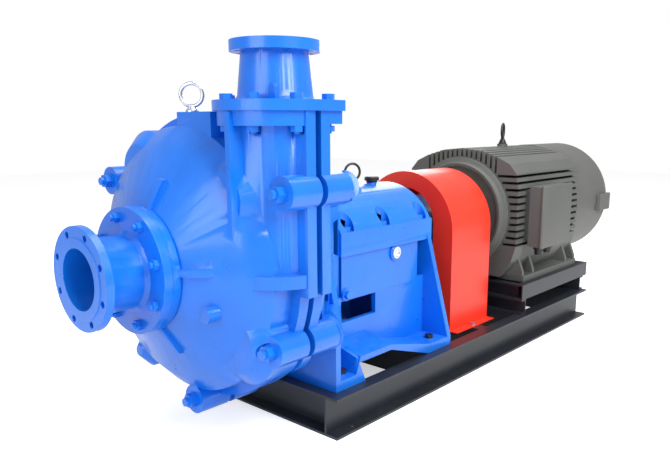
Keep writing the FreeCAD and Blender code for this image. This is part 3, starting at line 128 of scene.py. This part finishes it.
def addNode(tree, kind, settings=None, sockets=None, out=0):
    # settings come first, because some of them change the sockets
    node = tree.nodes.new(kind)
    for key, value in (settings or {}).items():
        setattr(node, key, value)
    for key, value in (sockets or {}).items():
        feed(tree, node.inputs[key], value)
    return Wire(tree, node.outputs[out])


def rays(tree):
    # 1 for a ray straight from the camera, off a mirror, or through glass
    kinds = ("Is Camera Ray", "Is Glossy Ray", "Is Transmission Ray")
    return [addNode(tree, "ShaderNodeLightPath", out=kind) for kind in kinds]


class Finish:
    # a material under construction
    inputs = {
        "colour": "Base Color", "rough": "Roughness", "metal": "Metallic", "normal": "Normal",
        "coat": "Coat Weight", "coatRough": "Coat Roughness", "specular": "Specular IOR Level",
        "glow": "Emission Color", "glowStrength": "Emission Strength",
    }

    def __init__(self, name):
        self.material = bpy.data.materials.new(name)
        self.material.use_nodes = True
        self.tree = self.material.node_tree
        self.shader = self.tree.nodes["Principled BSDF"]
        self.place = self.add("ShaderNodeTexCoord", out="Object")

    def add(self, kind, settings=None, sockets=None, out=0):
        return addNode(self.tree, kind, settings, sockets, out)

    def noise(self, scale, detail=3.0, rough=0.55, place=None):
        sockets = {"Vector": place or self.place, "Scale": scale, "Detail": detail, "Roughness": rough}
        return self.add("ShaderNodeTexNoise", None, sockets)

    def ramp(self, value, low, high):
        # 0 below low and 1 above high
        return self.add("ShaderNodeMapRange", None, {"Value": value, "From Min": low, "From Max": high})

    def stretched(self, scale):
        return self.add("ShaderNodeMapping", None, {"Vector": self.place, "Scale": scale})

    def blend(self, mask, first, second):
        return self.add("ShaderNodeMix", {"data_type": "RGBA"}, {0: mask, 6: first, 7: second}, out=2)

    def height(self, value, strength, distance):
        sockets = {"Height": value, "Strength": strength, "Distance": distance}
        return self.add("ShaderNodeBump", None, sockets)

    def set(self, **sockets):
        for key, value in sockets.items():
            feed(self.tree, self.shader.inputs[self.inputs[key]], value)
        return self.material


def shade(colour, factor):
    return (colour[0] * factor, colour[1] * factor, colour[2] * factor, 1.0)


# scales are per metre, ranges run from none to full, and what ends in Rough adds to the roughness
castLook = {
    "drift": 2.6, "dark": 0.80, "driftShare": 0.65, "cloudShare": 0.35, "toneRange": (0.34, 0.66),
    "cloudScale": 5, "cloudRough": 0.10, "cloudHeight": 1.5,
    "grain": 260.0, "bump": 0.22, "relief": 0.0012,
    "rub": 34.0, "rubRange": (0.70, 0.76), "wear": 0.35, "rubRough": 0.3, "under": (0.006, 0.05, 0.22),
    "dust": 0.10, "dustScale": 9, "dustRange": (0.35, 0.75), "ledgeRange": (0.55, 1.0),
    "dustRough": 0.4, "dustColour": (0.32, 0.42, 0.55),
    "rough": 0.24, "coat": 0.25, "coatRough": 0.08, "specular": 0.5,
}
sheetLook = dict(castLook, grain=120.0, bump=0.05, dark=0.90, rough=0.30, coat=0.15, wear=0.15,
                 dustColour=(0.55, 0.30, 0.24), under=(0.30, 0.01, 0.01))
greyLook = dict(castLook, grain=320.0, bump=0.16, dark=0.82, rough=0.42, coat=0.0, wear=0.4,
                dustColour=(0.22, 0.21, 0.19), under=(0.20, 0.20, 0.19))
railLook = dict(castLook, grain=180.0, bump=0.12, dark=0.70, rough=0.34, coat=0.1, wear=0.5,
                dustColour=(0.12, 0.12, 0.12), under=(0.07, 0.05, 0.04))


def enamel(name, colour, look):
    # gloss paint over iron: slow tone drift, orange peel, dust on what faces up, small rubs
    finish = Finish(name)
    drift = finish.noise(look["drift"], 2.0)
    cloud = finish.noise(look["drift"] * look["cloudScale"], 4.0)
    grain = finish.noise(look["grain"], 3.0, 0.6)
    rubs = finish.ramp(finish.noise(look["rub"], 5.0, 0.7), *look["rubRange"])
    tone = finish.ramp(drift * look["driftShare"] + cloud * look["cloudShare"], *look["toneRange"])
    colours = finish.blend(tone, shade(colour, look["dark"]), shade(colour, 1.0))
    facing = finish.add("ShaderNodeNewGeometry", out="Normal")
    up = finish.add("ShaderNodeSeparateXYZ", None, {0: facing}, out=2)
    patches = finish.ramp(finish.noise(look["drift"] * look["dustScale"], 5.0), *look["dustRange"])
    dust = finish.ramp(up, *look["ledgeRange"]) * patches * look["dust"]
    colours = finish.blend(dust, colours, shade(look["dustColour"], 1.0))
    colours = finish.blend(rubs * look["wear"], colours, shade(look["under"], 1.0))
    rough = (look["rough"] + cloud * look["cloudRough"] + rubs * look["wear"] * look["rubRough"]
             + dust * look["dustRough"])
    normal = finish.height(grain + cloud * look["cloudHeight"], look["bump"], look["relief"])
    return finish.set(colour=colours, rough=rough, normal=normal, coat=look["coat"],
                      coatRough=look["coatRough"], specular=look["specular"])


metalLook = {
    "across": {"x": (900.0, 4.0, 4.0), "z": (4.0, 4.0, 900.0)}, "bump": 0.10, "relief": 0.0004,
    "stain": 9.0, "stainRange": (0.45, 0.72), "dark": 0.62,
    "stainRough": 0.18, "lineRough": 0.10, "metal": 0.95,
}


def turnedMetal(name, colour, rough, axis):
    # lathe marks: fine lines that lie across the given axis
    finish = Finish(name)
    lines = finish.noise(1.0, 3.0, 0.6, finish.stretched(metalLook["across"][axis]))
    stains = finish.ramp(finish.noise(metalLook["stain"], 5.0, 0.6), *metalLook["stainRange"])
    colours = finish.blend(stains, shade(colour, 1.0), shade(colour, metalLook["dark"]))
    normal = finish.height(lines, metalLook["bump"], metalLook["relief"])
    rough = rough + stains * metalLook["stainRough"] + lines * metalLook["lineRough"]
    return finish.set(colour=colours, rough=rough, metal=metalLook["metal"], normal=normal)


darkLook = {
    "grain": 700.0, "drift": 8.0, "shades": (0.7, 1.3), "driftRough": 0.12, "bump": 0.12, "relief": 0.0005,
}


def darkPlastic(name, colour, rough):
    finish = Finish(name)
    grain = finish.noise(darkLook["grain"], 2.0)
    drift = finish.noise(darkLook["drift"], 3.0)
    colours = finish.blend(drift, *(shade(colour, factor) for factor in darkLook["shades"]))
    normal = finish.height(grain, darkLook["bump"], darkLook["relief"])
    return finish.set(colour=colours, rough=rough + drift * darkLook["driftRough"], normal=normal)


blue = enamel("blueEnamel", (0.003, 0.175, 0.80), castLook)
blueBolt = enamel("blueEnamelOnSteel", (0.003, 0.185, 0.82), dict(castLook, bump=0.10, grain=90.0, wear=0.6))
red = enamel("redEnamel", (0.90, 0.035, 0.012), sheetLook)
grey = enamel("motorEnamel", (0.105, 0.110, 0.102), greyLook)
greySheet = enamel("cowlEnamel", (0.110, 0.113, 0.106), dict(greyLook, bump=0.06, rough=0.38))
rail = enamel("baseEnamel", (0.016, 0.020, 0.028), railLook)
ironWhite = turnedMetal("wearIron", (0.30, 0.31, 0.32), 0.38, "x")
steel = turnedMetal("turnedSteel", (0.55, 0.56, 0.58), 0.24, "x")
zinc = turnedMetal("zincPlate", (0.58, 0.60, 0.63), 0.30, "z")
polished = turnedMetal("polishedSteel", (0.72, 0.75, 0.80), 0.14, "z")
black = darkPlastic("blackOxide", (0.012, 0.012, 0.013), 0.32)
rubber = darkPlastic("packingBlack", (0.016, 0.016, 0.017), 0.62)
windings = enamel("windingVarnish", (0.16, 0.07, 0.02), dict(greyLook, rough=0.30))

wearing = {
    blue: ("suction_spool", "discharge_spool", "front_casing", "rear_casing", "bearing_bracket",
           "bearing_cover", "expeller_ring", "bearing_caps"),
    blueBolt: ("suction_studs", "discharge_spool_bolts", "casing_studs", "bearing_cover_bolts",
               "oil_drain_plug"),
    red: ("coupling_guard",),
    grey: ("motor_frame", "motor_drive_end_shield", "motor_rear_end_shield", "terminal_box",
           "terminal_box_lid"),
    greySheet: ("fan_cowl", "cowl_side_box"),
    rail: ("base_side_rails", "base_cross_channels", "motor_stand_packers", "motor_stand_side_beams",
           "motor_stand_cross_beams"),
    ironWhite: ("volute_liner", "front_liner", "rear_liner", "impeller", "expeller", "stuffing_box"),
    steel: ("shaft_sleeve", "pump_shaft", "pump_bearing_outer_races", "pump_bearing_inner_races",
            "pump_bearing_rollers", "pump_coupling_half", "motor_coupling_half", "motor_rotor",
            "motor_bearing_outer_races", "motor_bearing_inner_races", "packing_gland"),
    zinc: ("gland_studs", "gland_nuts", "guard_bolts", "coupling_pins"),
    polished: ("casing_eye_bolt", "oil_sight_glass"),
    black: ("bearing_cover_eye_bolt", "oil_breather", "heater_box", "cable_glands", "motor_eye_bolt",
            "motor_fan", "pedestal_bolts", "motor_foot_bolts"),
    rubber: ("packing_rings", "coupling_bushes"),
    windings: ("motor_stator",),
}
for material, names in wearing.items():
    for name in names:
        mesh = nodes[name].data
        mesh.materials.clear()
        mesh.materials.append(material)
print("materials made and given to the frame")


def newPiece(name, bm, material, body, smooth):
    mesh = bpy.data.meshes.new(name)
    bm.to_mesh(mesh)
    bm.free()
    mesh.materials.append(material)
    mesh.shade_smooth()
    mesh.set_sharp_from_angle(angle=math.radians(smooth))
    piece = bpy.data.objects.new(name, mesh)
    bpy.context.scene.collection.objects.link(piece)
    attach(piece, body)
    return piece


edgeLook = {"weld": 4e-6, "flat": 0.6, "segments": 2, "limit": 40.0}    # angles in degrees, weld in metres


def rounded(node, width):
    # the frame's solid with its edges rounded, in place of the plain one
    source = nodes[node]
    bm = bmesh.new()
    bm.from_mesh(source.data)
    bmesh.ops.remove_doubles(bm, verts=bm.verts, dist=edgeLook["weld"])
    bmesh.ops.dissolve_limit(bm, angle_limit=math.radians(edgeLook["flat"]), verts=bm.verts, edges=bm.edges)
    material = source.data.materials[0]
    piece = newPiece(node + "_cast", bm, material, source["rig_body"], edgeLook["limit"])
    edge = piece.modifiers.new("edge", "BEVEL")
    edge.width = width * mm
    edge.segments = edgeLook["segments"]
    edge.limit_method = "ANGLE"
    edge.angle_limit = math.radians(edgeLook["limit"])
    edge.use_clamp_overlap = True
    edge.harden_normals = True
    edge.miter_outer = "MITER_ARC"
    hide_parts(node)


# widths in millimetres
roundedEdges = {
    "front_casing": 5.0, "rear_casing": 4.0, "suction_spool": 2.5, "discharge_spool": 3.0,
    "bearing_bracket": 5.0, "bearing_cover": 4.0, "coupling_guard": 1.2, "motor_frame": 2.0,
    "motor_drive_end_shield": 3.0, "terminal_box": 2.0, "terminal_box_lid": 2.0, "cowl_side_box": 3.0,
    "heater_box": 3.0,
}
for node, width in roundedEdges.items():
    rounded(node, width)
print("cast and sheet pieces rounded")

floorLook = {
    "size": 14.0, "drop": 0.0005, "colour": (0.86, 0.86, 0.86, 1.0), "rough": 0.9,
    "glow": 0.55, "mirrorShare": 0.2,
}


def paleFloor():
    bm = bmesh.new()
    bmesh.ops.create_grid(bm, x_segments=1, y_segments=1, size=floorLook["size"])
    mesh = bpy.data.meshes.new("floor")
    bm.to_mesh(mesh)
    bm.free()
    floor = bpy.data.objects.new("floor", mesh)
    floor.location.z = -floorLook["drop"]
    bpy.context.scene.collection.objects.link(floor)
    finish = Finish("paleFloor")
    seen, mirror, through = rays(finish.tree)
    bright = (seen + mirror * floorLook["mirrorShare"] + through) * floorLook["glow"]
    glow = finish.add("ShaderNodeCombineColor", None, {channel: bright for channel in range(3)})
    finish.set(colour=floorLook["colour"], rough=floorLook["rough"], glow=glow, glowStrength=1.0)
    mesh.materials.append(finish.material)


# seen adds up to 1 with the base, which is plain white
skyLook = {"base": 0.45, "seen": 0.55, "mirror": 0.1, "through": 0.3}


def surroundings():
    world = bpy.data.worlds.new("studio")
    bpy.context.scene.world = world
    world.use_nodes = True
    tree = world.node_tree
    sky = tree.nodes["Background"]
    seen, mirror, through = rays(tree)
    strength = (skyLook["base"] + seen * skyLook["seen"] + mirror * skyLook["mirror"]
                + through * skyLook["through"])
    feed(tree, sky.inputs["Color"], (1.0, 1.0, 1.0, 1.0))
    feed(tree, sky.inputs["Strength"], strength)


paleFloor()
surroundings()
